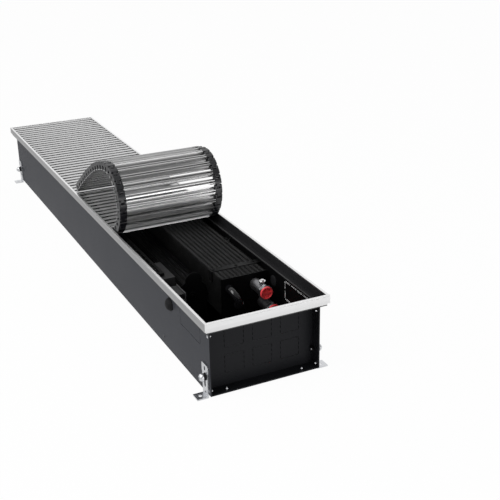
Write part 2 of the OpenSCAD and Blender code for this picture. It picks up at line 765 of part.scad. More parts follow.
module inlet_guard() {
  gx = -wall_in + 23;
  gz = rim_z - 2.8;
  slots = floor((guard_y1 - guard_y0 - 10) / 26);
  color("#2c2d30")
  difference() {
    along_y(guard_y0, guard_y1)
      polygon([[-wall_in, gz - 5.7], [-wall_in + 1.2, gz - 5.7], [-wall_in + 1.2, gz - 1.2],
               [gx - 1.2, gz - 1.2], [gx - 1.2, gz - 5.7], [gx, gz - 5.7], [gx, gz],
               [-wall_in, gz]]);
    for (i = [0 : slots - 1])
      for (x = [5.5, 13.5])
        box(-wall_in + x, -wall_in + x + 3.2, guard_y0 + 8 + i * 26, guard_y0 + 28 + i * 26,
            gz - 2, gz + 1);
  }
}
rotor_y0 = fan_y0 + 4;
rotor_y1 = fan_y1 - 4;
module fan_rotor() {
  discs = 6;
  step = (rotor_y1 - rotor_y0 - 1.2) / (discs - 1);
  color("#8f9296")
  translate([fan_x, 0, fan_z])
    union() {
      rod_y(0, 0, shaft_r, fan_y0 - 8, motor_y0 + 12);
      for (i = [0 : discs - 1]) rod_y(0, 0, rotor_r, rotor_y0 + i * step, rotor_y0 + i * step + 1.2);
      for (b = [0 : blade_count - 1])
        rotate([0, b * 360 / blade_count, 0])
          translate([rotor_r - 1.2, rotor_y0, 0]) rotate([0, 35, 0])
            translate([-6, 0, -0.5]) cube([6, rotor_y1 - rotor_y0, 1]);
    }
}
// the two bearings of the fan shaft
module fan_bearings() {
  for (y = [fan_y0 - fan_plate_t / 2, fan_y1 + fan_plate_t / 2])
    difference() {
      rod_y(fan_x, fan_z, bearing_r, y - 2.4, y + 2.4);
      rod_y(fan_x, fan_z, shaft_r + run_gap, y - 4, y + 4);
    }
}
module fan_motor() {
  drop = fan_z - floor_top;
  color("#3c3d40")
  difference() {
    union() {
      rod_y(fan_x, fan_z, motor_r, motor_y0, motor_y1);
      rod_y(fan_x, fan_z, 10, motor_y1 - 1, motor_y1 + 6);
      for (a = [30, 150, 270])
        rod_y(fan_x + 17 * cos(a), fan_z + 17 * sin(a), 3, fan_y1 + fan_plate_t, motor_y0 + 2);
      box(fan_x - 16, fan_x + 16, motor_y0 + 6, motor_y1 - 6, floor_top, fan_z - 12);
      box(term_x, fan_x - 2, turn_y, turn_y + 24, fan_z + 18, cable_z + 8);
    }
    rod_y(fan_x, fan_z, shaft_r + run_gap, motor_y0 - 1, motor_y0 + 14);
  }
}

// ---------- electrical boxes ----------
lid_t = 1.5;
lid_x = -wall_in + 34.6;
box_z0 = rim_z - 44;
box_z1 = rim_z - 18;
box_mid_z = (box_z0 + box_z1) / 2;
module junction_box() {
  color("#2b2c2f") {
    difference() {
      box(board_x, lid_x, box_y0, box_y1, box_z0, box_z1);
      difference() {
        box(board_x + 2, lid_x + 1, box_y0 + 2, box_y1 - 2, box_z0 + 2, box_z1 - 2);
        for (z = [-10, 10]) rod_x((box_y0 + box_y1) / 2, box_mid_z + z, 2.6, board_x, lid_x);
      }
      for (z = [-10, 10]) rod_x((box_y0 + box_y1) / 2, box_mid_z + z, 1.4, lid_x - 7, lid_x + 1);
    }
    box(board_x, lid_x + 6, drive_y0, drive_y1, rim_z - 32, rim_z - 9);
  }
}
module junction_box_lid() {
  color("#c3c5c6")
  difference() {
    box(lid_x, lid_x + lid_t, box_y0 - 3, box_y1 + 2, box_z0 - 2, box_z1 + 2);
    for (z = [-10, 10]) rod_x((box_y0 + box_y1) / 2, box_mid_z + z, 1.4, lid_x - 1, lid_x + 4);
  }
}

// ---------- grille ----------
// one slat, centred on y = 0, underside at z = 0
module slat() {
  t = slat_top_w / 2;
  w = slat_h - flange_t;
  union() {
    along_x(nest_gap - link_in, link_in - nest_gap)
      polygon([[-t, slat_h], [-t, w], [-leg_out, w], [-leg_out, 0], [-1.6, 0], [-1.6, 1.2],
               [-leg_in, 1.2], [-leg_in, w], [leg_in, w], [leg_in, 1.2], [1.6, 1.2], [1.6, 0],
               [leg_out, 0], [leg_out, w], [t, w], [t, slat_h]]);
    box(-slat_len / 2, slat_len / 2, -t, t, w, slat_h);
  }
}
// end link of a slat on the +X side: a block under the slat top with a spigot in the slat,
// two bored ears towards -Y and a pegged tongue towards +Y; the outermost slats lack one of them
module slat_link(ears, tongue) {
  py = slat_pitch / 2;
  w = slat_h - flange_t - nest_gap;
  tongue_in = link_in + ear_w + slide_gap;
  tongue_out = link_out - ear_w - slide_gap;
  union() {
    box(link_in, link_out, -block_half, block_half, 0, w);
    box(link_in - 8, link_in + 1, -leg_in + nest_gap, leg_in - nest_gap, 1.2 + nest_gap, w);
    if (ears)
      for (x = [link_in, link_out - ear_w])
        along_x(x, x + ear_w)
          difference() {
            union() {
              translate([-py, pivot_h]) circle(r = knuckle_r);
              translate([-py, pivot_h - knuckle_r]) square([py - block_half + 1, 2 * knuckle_r]);
            }
            translate([-py, pivot_h]) circle(r = peg_hole_r);
          }
    if (tongue) {
      along_x(tongue_in, tongue_out)
        union() {
          translate([py, pivot_h]) circle(r = knuckle_r);
          translate([block_half - 1, pivot_h - knuckle_r]) square([py - block_half + 1, 2 * knuckle_r]);
        }
      rod_x(py, pivot_h, peg_r, link_in + 0.4, link_out - 0.4);
    }
  }
}
module both_links(ears = true, tongue = true) {
  slat_link(ears, tongue);
  mirror([1, 0, 0]) slat_link(ears, tongue);
}
module laid_slats() {
  color("#c3c5c7")
  for (i = [0 : laid_count - 1]) translate([0, roll_y + (i + 0.5) * slat_pitch, slat_z]) slat();
}
module laid_links() {
  color("#18181a")
  for (i = [0 : laid_count - 1])
    translate([0, roll_y + (i + 0.5) * slat_pitch, slat_z]) both_links(tongue = i < laid_count - 1);
}
// bend at pivot i of the roll, total turn of slat i, and the place of pivot i in Y and Z
function bend(i) = roll_share * (i <= 4 ? 15 : i <= 12 ? 16 : i <= 17 ? 4 : 1);
function turn(i) = i < 1 ? 0 : turn(i - 1) + bend(i);
function pivot(i) = i < 1 ? [roll_y, slat_z + pivot_h]
                          : pivot(i - 1) + slat_pitch * [-cos(turn(i)), sin(turn(i))];
module roll_slat(i) {
  p = pivot(i - 1);
  translate([0, p[0], p[1]]) rotate([-turn(i), 0, 0])
    translate([0, -slat_pitch / 2, -pivot_h]) {
      color("#c3c5c7") slat();
      color("#18181a") both_links(ears = i < rolled);
    }
}

trough();
end_plate_near();
end_plate_far();
frame_left();
frame_right();
frame_near();
frame_far();
frame_corner_keys();
seat_strips();
small_hardware();
cables_and_grommets();
level_bracket_near_left();
level_bracket_near_right();
level_bracket_far_left();
level_bracket_far_right();
bracket_bolts();
grille_rails();
exchanger_fins();
exchanger_tubes();
return_bends();
exchanger_supports();
pipe_header();
bleed_valve();
bleed_screw();
supply_cap();
return_cap();
fan_housing();
fan_brackets();
inlet_guard();
fan_rotor();
fan_motor();
junction_box();
junction_box_lid();
laid_slats();
laid_links();
roll_slat(1);  // roll_slat_01
roll_slat(2);  // roll_slat_02
roll_slat(3);  // roll_slat_03
roll_slat(4);  // roll_slat_04
roll_slat(5);  // roll_slat_05
roll_slat(6);  // roll_slat_06
roll_slat(7);  // roll_slat_07
roll_slat(8);  // roll_slat_08
roll_slat(9);  // roll_slat_09
roll_slat(10);  // roll_slat_10
roll_slat(11);  // roll_slat_11
roll_slat(12);  // roll_slat_12
roll_slat(13);  // roll_slat_13
roll_slat(14);  // roll_slat_14
roll_slat(15);  // roll_slat_15
roll_slat(16);  // roll_slat_16
roll_slat(17);  // roll_slat_17
roll_slat(18);  // roll_slat_18
roll_slat(19);  // roll_slat_19
roll_slat(20);  // roll_slat_20
roll_slat(21);  // roll_slat_21
roll_slat(22);  // roll_slat_22
roll_slat(23);  // roll_slat_23
roll_slat(24);  // roll_slat_24
roll_slat(25);  // roll_slat_25
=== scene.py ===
import math

import bmesh
import bpy
import numpy as np
from mathutils import Matrix, Vector


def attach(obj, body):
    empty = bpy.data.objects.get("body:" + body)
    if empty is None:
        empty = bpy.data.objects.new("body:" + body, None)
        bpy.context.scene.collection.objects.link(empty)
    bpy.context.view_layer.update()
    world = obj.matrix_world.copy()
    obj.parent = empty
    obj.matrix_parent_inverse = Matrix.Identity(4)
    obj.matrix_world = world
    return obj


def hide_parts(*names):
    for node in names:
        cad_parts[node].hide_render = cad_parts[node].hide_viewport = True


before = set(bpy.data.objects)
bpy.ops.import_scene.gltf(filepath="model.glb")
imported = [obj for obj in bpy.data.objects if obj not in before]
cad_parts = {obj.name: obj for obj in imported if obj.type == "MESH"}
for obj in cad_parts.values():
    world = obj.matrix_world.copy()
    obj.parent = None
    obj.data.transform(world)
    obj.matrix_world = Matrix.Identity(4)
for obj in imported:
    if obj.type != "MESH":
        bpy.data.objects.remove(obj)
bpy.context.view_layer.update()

# Trench convector heater: a sheet trough with its edge frame, heat exchanger, fan and
# pipe connections, and a roll-up grille that is rolled back from the near end.
# Lengths are in millimetres until a mesh is made: X across, Y along, Z up.
MM = 0.001

# trough: outer face of the side walls, underside of the floor
WALL, FLOOR = 111.3, 6.0
# edge frame: half width and half length over all, top, and the gap in each mitre
FRAME_X, FRAME_Y, FRAME_TOP, MITRE_GAP = 124.0, 713.0, 159.8, 0.15
# seat strips: underside, inner and outer side in X, far side in Y, thickness, and height
# and thickness of the upstand
LEDGE, SEAT_IN, SEAT_OUT, SEAT_END = 139.8, 110.4, 118.75, 707.75
SEAT_SHEET, UPSTAND, UPSTAND_SHEET = 1.0, 17.0, 0.4
# slats: step along the grille, height, half length and the underside of a laid one
PITCH, SLAT_HIGH, SLAT_HALF, SLAT_Z = 20.5, 18.0, 118.0, 141.1
# a slat's flange: thickness, half width, thickness of its under layer; its legs: outer
# face and inner end of the lip, both from the middle, and thickness
FLANGE, FLANGE_HALF, FLANGE_UNDER = 1.5, 6.15, 0.5
LEG, LIP, LEG_SHEET = 3.5, 1.6, 1.2
# links: height of the pivot over a slat's underside, both ends in X, half width of the
# block, radii of the knuckle and the peg, width of an ear and its gap to the tongue
PIVOT_HIGH, LINK_IN, LINK_OUT, BLOCK_HALF = 5.0, 101.0, 117.0, 5.6
KNUCKLE, PEG, EAR, EAR_GAP = 4.0, 1.6, 4.0, 0.3
# the laid slats end and the rolled slats start at ROLL_Y; each link bends by one of BENDS
LAID, ROLLED, ROLL_Y = 44, 25, -194.75
BENDS = np.radians([15.0] * 4 + [16.0] * 8 + [4.0] * 5 + [1.0] * 8)
# heat exchanger, and the step, half thickness, wave and wave length of its plates
FIN_X, FIN_Y, FIN_Z = (4.0, 102.0), (-499.0, 589.0), (50.0, 130.0)
FIN_STEP, FIN_HALF, WAVE, WAVE_LENGTH = 5.0, 0.15, 1.3, 9.8
# pipe ends at (X, Z); the front of plugs and unions and the valve's axis along Y
SUPPLY, RETURN = (90.0, 68.0), (74.0, 110.0)
PLUG_Y, UNION_Y, VALVE_Y = -560.3, -555.5, -540.0
# fan shaft, and the middles of its two bearings along it
FAN_X, FAN_Z, BEARING_Y = -34.0, 80.0, (-441.0, 381.0)
# rivets that hold the end plates: in the walls at two heights, and in the floor
END_RIVET_Y, END_RIVET_Z, FLOOR_RIVET_X = 693.0, (124.0, 14.0), 77.0
# rivets at (Y, Z): the left wall's for the box board, the right wall's for the clips
BOARD_RIVETS = ((-481.0, 126.0), (-474.0, 22.0))
CLIP_RIVETS = ((-313.0, 126.0), (313.0, 126.0))
# screws of the cross strap and of the box cover
STRAP_SCREW_X, STRAP_SCREW_Y, STRAP_TOP = (8.0, 58.0, 96.0), -453.0, 131.5
LID_SCREW_X, LID_SCREW_Y, LID_SCREW_Z = -74.0, -484.0, (97.0, 117.0)
# bolts of the level brackets: their place, and where the sleeve ends and the dome starts
BOLT_Y, BOLT_Z, DOME_X = 681.6, 39.0, 118.4
# knock-out in each side wall, near the connections, and how far the bare edges stand out
KNOCK_Y, KNOCK_Z, BURR_X = (-660.3, -566.2), (92.8, 131.5), (109.75, 110.05)
# stands for no hexagon at a point of a turned profile
ROUND = 99


# ---------------------------------------------------------------- shapes
def soften(corners, radius, steps=3):
    """Closed outline with round corners. Corner C becomes the curve
    (1-t)^2 A + 2t(1-t) C + t^2 B for t from 0 to 1, where A and B lie one radius
    before and after C on its two sides."""
    c = np.asarray(corners, float)
    back, on = np.roll(c, 1, 0) - c, np.roll(c, -1, 0) - c
    far = np.linalg.norm(back, axis=1, keepdims=True), np.linalg.norm(on, axis=1, keepdims=True)
    r = np.broadcast_to(np.asarray(radius, float).reshape(-1, 1), (len(c), 1))
    r = np.minimum(r, 0.45 * np.minimum(*far))
    a, b = c + back / far[0] * r, c + on / far[1] * r
    t = np.linspace(0, 1, steps + 1)[None, :, None]
    curve = (1 - t) ** 2 * a[:, None] + 2 * t * (1 - t) * c[:, None] + t**2 * b[:, None]
    return curve.reshape(-1, 2)


def drawn_in(outline, depth):
    """The outline moved inwards by depth along the mean normal of its two sides at each
    point; the outline runs anticlockwise."""
    side = np.roll(outline, -1, 0) - outline
    side /= np.linalg.norm(side, axis=1, keepdims=True) + 1e-12
    run = side + np.roll(side, 1, 0)
    run /= np.linalg.norm(run, axis=1, keepdims=True) + 1e-12
    return outline + depth * np.stack([-run[:, 1], run[:, 0]], 1)


def skin(rings, loop=False):
    """A closed surface over rings of N points: point i of each ring joins point i of the
    next. The first and last ring are closed by a face, or joined to each other in a loop."""
    count, n = rings.shape[:2]
    i, k = np.arange(n), np.arange(count if loop else count - 1)[:, None]
    j, near, far = (i + 1) % n, k * n, (k + 1) % count * n
    sides = np.stack([near + i, near + j, far + j, far + i], -1).reshape(-1, 4)
    ends = np.stack([i[::-1], (count - 1) * n + i])
    return rings.reshape(-1, 3), [sides] if loop else [sides, ends]


def bar(outline, start, end, edge=0.0, axis=0):
    """An outline drawn along an axis from start to end, its end edges bevelled by edge.
    The outline's two numbers go to the other two axes, in order."""
    if edge:
        inner = drawn_in(outline, edge)
        flats = [(start, inner), (start + edge, outline), (end - edge, outline), (end, inner)]
    else:
        flats = [(start, outline), (end, outline)]
    rings = np.stack([np.insert(flat, axis, at, axis=1) for at, flat in flats])
    return skin(rings)


def turned(profile, centre, axis, sides=48, six=None, loop=False):
    """A profile of (distance along the axis, radius) turned round an axis through centre:
    point (r cos a, r sin a) for sides equal angles a. Where six gives the half width of a
    hexagon for a profile point, r is at most six / cos(b), with b the angle from the
    middle of the hexagon's nearest side."""
    profile = np.asarray(profile, float)
    a = np.linspace(0, 2 * np.pi, sides, endpoint=False)
    r = np.maximum(profile[:, 1:], 1e-3)
    if six is not None:
        off = (a + np.pi / 6) % (np.pi / 3) - np.pi / 6
        r = np.minimum(r, np.asarray(six, float)[:, None] / np.cos(off))
    ring = np.stack([r * np.cos(a), r * np.sin(a)], -1)
    along = np.broadcast_to(profile[:, :1, None], ring.shape[:2] + (1,))
    order = {0: [2, 0, 1], 1: [0, 2, 1], 2: [0, 1, 2]}[axis]
    rings = np.concatenate([ring, along], -1)[:, :, order] + np.asarray(centre, float)
    return skin(rings, loop)


def joined(*parts):
    """Several parts as one."""
    points, faces, start = [], {}, 0
    for p, f in parts:
        for block in f:
            faces.setdefault(block.shape[1], []).append(block + start)
        points.append(p)
        start += len(p)
    return np.concatenate(points), [np.concatenate(b) for b in faces.values()]


def repeated(part, shifts, turns=None):
    """A part copied to every shift (K, 3), each copy turned first by its 3x3 in turns."""
    p, f = part
    shifts = np.asarray(shifts, float)
    if turns is None:
        points = p[None] + shifts[:, None]
    else:
        points = np.einsum("kij,vj->kvi", turns, p) + shifts[:, None]
    start = (np.arange(len(shifts)) * len(p))[:, None, None]
    return points.reshape(-1, 3), [(b[None] + start).reshape(-1, b.shape[1]) for b in f]


def mirrored(part, axis=0):
    """A part and its mirror image across the plane where that axis is 0."""
    p, f = part
    q = p.copy()
    q[:, axis] *= -1
    return joined((p, f), (q, [b[:, ::-1] for b in f]))


def put(name, part, material, body, slot, *nodes, sharp=32):
    """Makes the mesh object of a part, in metres, with its faces outwards, and lets it
    ride on a body in the place of the named nodes."""
    points, faces = part
    mesh = bpy.data.meshes.new(name)
    mesh.from_pydata((points * MM).tolist(), [], sum((b.tolist() for b in faces), []))
    work = bmesh.new()
    work.from_mesh(mesh)
    bmesh.ops.recalc_face_normals(work, faces=work.faces)
    work.to_mesh(mesh)
    work.free()
    mesh.polygons.foreach_set("use_smooth", np.ones(len(mesh.polygons), bool))
    mesh.set_sharp_from_angle(angle=math.radians(sharp))
    mesh.materials.append(material)
    thing = bpy.data.objects.new(name, mesh)
    bpy.context.scene.collection.objects.link(thing)
    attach(thing, body)
    if nodes:
        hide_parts(*nodes)


# ---------------------------------------------------------------- materials
class Tree:
    """Short hand for building a node tree."""

    def __init__(self, tree):
        self.tree = tree

    def add(self, kind, **fields):
        """A new node. A field with a capital letter is an input socket, with _ for a space;
        any other is a property of the node."""
        node = self.tree.nodes.new(kind)
        for key, value in fields.items():
            if key[0].isupper():
                node.inputs[key.replace("_", " ")].default_value = value
            else:
                setattr(node, key, value)
        return node

    def link(self, a, b):
        self.tree.links.new(a, b)

    def math(self, kind, a, b=None):
        """The result of a math node on a and b, each a socket or a number."""
        node = self.add("ShaderNodeMath", operation=kind)
        for socket, value in zip(node.inputs, (a, b)):
            if value is None:
                continue
            if isinstance(value, (int, float)):
                socket.default_value = value
            else:
                self.link(value, socket)
        return node.outputs[0]

    def span(self, value, low, high, to_low, to_high):
        """Value mapped from low..high to to_low..to_high, and held at these ends."""
        node = self.add("ShaderNodeMapRange", clamp=True)
        labels = "From Min", "From Max", "To Min", "To Max"
        for label, number in zip(labels, (low, high, to_low, to_high)):
            node.inputs[label].default_value = number
        self.link(value, node.inputs["Value"])
        return node.outputs["Result"]

    def blend(self, share, a, b):
        """Colour a where share is 0 and b where it is 1; each a socket or three numbers."""
        node = self.add("ShaderNodeMix", data_type="RGBA")
        self.link(share, node.inputs[0])
        for socket, value in ((node.inputs[6], a), (node.inputs[7], b)):
            if isinstance(value, tuple):
                socket.default_value = (*value, 1.0)
            else:
                self.link(value, socket)
        return node.outputs[2]


def new_group(name, inputs, outputs):
    """A shader node group with float inputs (name, value) and named float outputs, given
    back as its tree, its input node and its output node."""
    tree = bpy.data.node_groups.new(name, "ShaderNodeTree")
    for label, value in inputs:
        socket = tree.interface.new_socket(label, in_out="INPUT", socket_type="NodeSocketFloat")
        socket.default_value = value
    for label in outputs:
        tree.interface.new_socket(label, in_out="OUTPUT", socket_type="NodeSocketFloat")
    t = Tree(tree)
    return t, t.add("NodeGroupInput"), t.add("NodeGroupOutput")


def grain_group():
    """Fine round grain of a powder coat or moulded plastic: two sizes of noise for the
    height, and a slow one for the mottle."""
    t, given, out = new_group("surface_grain", [("Scale", 900.0), ("Mottle Scale", 14.0)],
                              ["Height", "Mottle"])
    place = t.add("ShaderNodeTexCoord").outputs["Object"]
    fine = t.add("ShaderNodeTexNoise", Detail=2.0, Roughness=0.5)
    slow = t.add("ShaderNodeTexNoise", Detail=3.0, Roughness=0.55)
    t.link(place, fine.inputs["Vector"])
    t.link(place, slow.inputs["Vector"])
    t.link(given.outputs["Scale"], fine.inputs["Scale"])
    t.link(given.outputs["Mottle Scale"], slow.inputs["Scale"])
    t.link(t.span(fine.outputs["Fac"], 0.25, 0.75, 0, 1), out.inputs["Height"])
    t.link(t.span(slow.outputs["Fac"], 0.3, 0.7, 0, 1), out.inputs["Mottle"])
    return t.tree


def brushed_group():
    """Brush marks: noise drawn out along the axis with the low scale, in two widths."""
    t, given, out = new_group(
        "brush_marks", [("Along X", 4.0), ("Along Y", 900.0), ("Along Z", 900.0)],
        ["Streak", "Height"])
    place = t.add("ShaderNodeTexCoord").outputs["Object"]
    stretch = t.add("ShaderNodeCombineXYZ")
    for label in "XYZ":
        t.link(given.outputs["Along " + label], stretch.inputs[label])
    scaled = t.add("ShaderNodeVectorMath", operation="MULTIPLY")
    t.link(place, scaled.inputs[0])
    t.link(stretch.outputs[0], scaled.inputs[1])
    fine = t.add("ShaderNodeTexNoise", Scale=1.0, Detail=3.0, Roughness=0.65)
    wide = t.add("ShaderNodeTexNoise", Scale=0.22, Detail=2.0, Roughness=0.5)
    t.link(scaled.outputs[0], fine.inputs["Vector"])
    t.link(scaled.outputs[0], wide.inputs["Vector"])
    both = t.math("ADD", t.math("MULTIPLY", fine.outputs["Fac"], 0.6),
                  t.math("MULTIPLY", wide.outputs["Fac"], 0.4))
    t.link(t.span(both, 0.3, 0.7, 0, 1), out.inputs["Streak"])
    t.link(fine.outputs["Fac"], out.inputs["Height"])
    return t.tree


def painted_shade_inside_group():
    """Where the trough's inner faces take painted shade: 1 where a point lies between the middles
    of the walls' sheets and above the middle of the floor's."""
    t, given, out = new_group("painted_shade_inside_of_trough", [("Half Width", 0.1107), ("Floor", 0.0066)],
                              ["Mask"])
    place = t.add("ShaderNodeSeparateXYZ")
    t.link(t.add("ShaderNodeTexCoord").outputs["Object"], place.inputs[0])
    across = t.math("LESS_THAN", t.math("ABSOLUTE", place.outputs["X"]),
                    given.outputs["Half Width"])
    above = t.math("GREATER_THAN", place.outputs["Z"], given.outputs["Floor"])
    t.link(t.math("MULTIPLY", across, above), out.inputs["Mask"])
    return t.tree


def facing_up_group():
    """1 where a face looks up, 0 where it looks to the side or down: where painted light falls on
    tops.
    """
    t, given, out = new_group("facing_up_painted_light", [("From", 0.55), ("To", 0.9)], ["Mask"])
    up = t.add("ShaderNodeSeparateXYZ")
    t.link(t.add("ShaderNodeNewGeometry").outputs["Normal"], up.inputs[0])
    ramp = t.add("ShaderNodeMapRange", clamp=True)
    t.link(up.outputs["Z"], ramp.inputs["Value"])
    t.link(given.outputs["From"], ramp.inputs["From Min"])
    t.link(given.outputs["To"], ramp.inputs["From Max"])
    t.link(ramp.outputs["Result"], out.inputs["Mask"])
    return t.tree


GRAIN, BRUSHED = grain_group(), brushed_group()
INSIDE_SHADE_MASK, TOP_PAINTED_LIGHT_MASK = painted_shade_inside_group(), facing_up_group()
# noise scales per metre, and bump depths in metres
COAT_MOTTLE, METAL_MOTTLE, METAL_GRAIN = 14.0, 30.0, 1500.0
ALONG_BRUSH, ACROSS_BRUSH = 6.0, 1100.0
COAT_DEPTH, BRUSH_DEPTH = 0.0002, 0.0001


def placed(t, tree, **values):
    """The group as a node of the tree t, with the given input values."""
    node = t.add("ShaderNodeGroup")
    node.node_tree = tree
    for key, value in values.items():
        node.inputs[key.replace("_", " ")].default_value = value
    return node


def start_material(name, **constants):
    """A material with a Principled BSDF whose constant sockets are set directly."""
    material = bpy.data.materials.new(name)
    material.use_nodes = True
    t = Tree(material.node_tree)
    shader = next(n for n in material.node_tree.nodes if n.type == "BSDF_PRINCIPLED")
    for key, value in constants.items():
        shader.inputs[key.replace("_", " ")].default_value = value
    return material, t, shader


def bumped(t, shader, height, strength, distance):
    """Lets the height bend the shader's normal."""
    bump = t.add("ShaderNodeBump", Strength=strength, Distance=distance)
    t.link(height, bump.inputs["Height"])
    t.link(bump.outputs["Normal"], shader.inputs["Normal"])


def coated(name, dark, light, rough, grain=900.0, strength=0.25, specular=0.5, inside=None):
    """Paint, powder coat or plastic: colour between dark and light and roughness between
    two values by the slow mottle, and fine grain in the bump. Where inside gives a colour,
    the faces between the trough's walls have that colour as painted shade."""
    material, t, shader = start_material(name, Specular_IOR_Level=specular)
    surface = placed(t, GRAIN, Scale=grain, Mottle_Scale=COAT_MOTTLE)
    colour = t.blend(surface.outputs["Mottle"], dark, light)
    # the inside colour is painted shade between the trough's walls
    if inside:
        colour = t.blend(placed(t, INSIDE_SHADE_MASK).outputs["Mask"], colour, inside)
    t.link(colour, shader.inputs["Base Color"])
    t.link(t.span(surface.outputs["Mottle"], 0, 1, *rough), shader.inputs["Roughness"])
    bumped(t, shader, surface.outputs["Height"], strength, COAT_DEPTH)
    return material


def brushed(name, dark, light, rough, along="X", strength=0.12, top=None):
    """Brushed or drawn metal: colour and roughness follow marks along one axis, and a
    slow mottle changes the sheen. Where top gives a colour, faces that look up have it as painted
    light."""
    material, t, shader = start_material(name, Metallic=1.0)
    scales = {f"Along_{axis}": ALONG_BRUSH if axis == along else ACROSS_BRUSH for axis in "XYZ"}
    marks = placed(t, BRUSHED, **scales)
    surface = placed(t, GRAIN, Scale=METAL_GRAIN, Mottle_Scale=METAL_MOTTLE)
    share = t.math("ADD", t.math("MULTIPLY", marks.outputs["Streak"], 0.7),
                   t.math("MULTIPLY", surface.outputs["Mottle"], 0.3))
    colour = t.blend(share, dark, light)
    # faces that look up take the top colour: painted light
    if top:
        colour = t.blend(placed(t, TOP_PAINTED_LIGHT_MASK).outputs["Mask"], colour, top)
    t.link(colour, shader.inputs["Base Color"])
    t.link(t.span(share, 0, 1, *rough), shader.inputs["Roughness"])
    bumped(t, shader, marks.outputs["Height"], strength, BRUSH_DEPTH)
    return material


# the trough's powder coat, with painted shade as its inside colour between the walls
POWDER = coated("graphite_powder_coat", (0.0365, 0.0385, 0.046), (0.0385, 0.0405, 0.048),
                (0.46, 0.49), grain=1300.0, strength=0.3, specular=0.1,
                inside=(0.002, 0.002, 0.0022))
# the end plates carry the trough's powder coat darkened as painted shade of their recess under the
# frame
END_PLATE_PAINTED_SHADE = coated("graphite_end_plate_painted_shade", (0.0076, 0.0080, 0.0098), (0.0084, 0.0088, 0.0106),
                    (0.46, 0.49), grain=1300.0, strength=0.3, specular=0.14)
SLAT = brushed("anodised_slat", (0.52, 0.52, 0.522), (0.66, 0.66, 0.663), (0.3, 0.42))
# a lighter copy of the slat's anodise for the undersides and legs: painted light
SLAT_UNDER_PAINTED_LIGHT = brushed("anodised_slat_under_painted_light", (0.62, 0.62, 0.62), (0.76, 0.76, 0.76), (0.26, 0.38))
# the frame's sides and ends are one anodised metal in two tones: the sides darker as painted
# shade, the ends lighter as painted light; the top colour of both is painted light on their upper
# faces
FRAME_SIDE_PAINTED_SHADE = brushed("anodised_side_painted_shade", (0.40, 0.40, 0.403), (0.48, 0.48, 0.483), (0.3, 0.42),
                        along="Y", top=(0.82, 0.82, 0.823))
FRAME_END_PAINTED_LIGHT = brushed("anodised_end_painted_light", (0.72, 0.72, 0.722), (0.80, 0.80, 0.803), (0.34, 0.44),
                        strength=0.05, top=(0.85, 0.85, 0.853))
RAIL = coated("grey_rail", (0.045, 0.045, 0.046), (0.055, 0.055, 0.056), (0.4, 0.5),
              specular=0.4)
ZINC = brushed("bright_zinc", (0.55, 0.56, 0.58), (0.74, 0.75, 0.77), (0.22, 0.4), along="Z",
               strength=0.06)
# pale grey of the cut edges: partly the bare steel's colour and partly a painted glint
CUT_EDGE_PAINTED_GLINT = coated("bare_cut_edge_painted_glint", (0.62, 0.62, 0.62), (0.72, 0.72, 0.72), (0.4, 0.5))
NICKEL = brushed("nickel_plate", (0.7, 0.7, 0.7), (0.82, 0.82, 0.82), (0.15, 0.25),
                 strength=0.03)
PLATED = brushed("plated_fitting", (0.2, 0.2, 0.21), (0.32, 0.32, 0.33), (0.3, 0.45),
                 strength=0.08)
MILL = brushed("mill_aluminium", (0.3, 0.3, 0.31), (0.42, 0.42, 0.43), (0.35, 0.5), along="Y")
RUBBER = coated("black_rubber", (0.008, 0.008, 0.009), (0.012, 0.012, 0.013), (0.6, 0.75),
                grain=1600.0, strength=0.35, specular=0.15)
LINK = coated("link_plastic", (0.004, 0.0042, 0.006), (0.007, 0.0073, 0.010), (0.28, 0.38),
              grain=1800.0, strength=0.15, specular=0.6)
BLACK = coated("matt_black_coat", (0.0022, 0.0022, 0.0025), (0.0035, 0.0035, 0.0038),
               (0.4, 0.55), grain=1500.0, strength=0.3, specular=0.12)
FIN = coated("black_fin_coat", (0.046, 0.046, 0.0465), (0.056, 0.056, 0.0565), (0.45, 0.6),
             grain=1500.0, strength=0.2)
TUBE_BLACK = coated("gloss_black_tube", (0.006, 0.006, 0.007), (0.009, 0.009, 0.010),
                    (0.12, 0.2), grain=700.0, strength=0.08)
SHELL = coated("housing_plastic", (0.0015, 0.0015, 0.0017), (0.0025, 0.0025, 0.0027),
               (0.35, 0.5), grain=1700.0, specular=0.1)
LID = coated("grey_box_plastic", (0.075, 0.075, 0.078), (0.09, 0.09, 0.093), (0.4, 0.5),
             grain=1800.0, strength=0.2)
BOX = coated("black_box_plastic", (0.016, 0.016, 0.017), (0.02, 0.02, 0.021), (0.4, 0.5),
             grain=1800.0, strength=0.2, specular=0.3)
PAINTED = coated("painted_rivet", (0.015, 0.0155, 0.018), (0.018, 0.0185, 0.021), (0.3, 0.4))
RED = coated("red_cap_plastic", (0.95, 0.065, 0.075), (0.98, 0.08, 0.09), (0.25, 0.35),
             grain=1400.0, strength=0.12)

# finishes of the solids that are drawn as they are
CARRIED = {
    POWDER: ["trough"],
    END_PLATE_PAINTED_SHADE: ["end_plate_near", "end_plate_far"],
    RAIL: ["grille_rails"],
    MILL: ["frame_corner_keys"],
    RUBBER: ["cables_and_grommets"],
    ZINC: ["level_bracket_near_left", "level_bracket_near_right",
           "level_bracket_far_left", "level_bracket_far_right"],
    BLACK: ["exchanger_supports", "fan_brackets", "inlet_guard", "fan_motor"],
    TUBE_BLACK: ["exchanger_tubes", "return_bends"],
    SHELL: ["fan_housing", "fan_rotor"],
    BOX: ["junction_box"],
    LID: ["junction_box_lid"],
    NICKEL: ["bleed_screw"],
}
for material, names in CARRIED.items():
    for name in names:
        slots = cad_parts[name].data.materials
        slots.clear()
        slots.append(material)


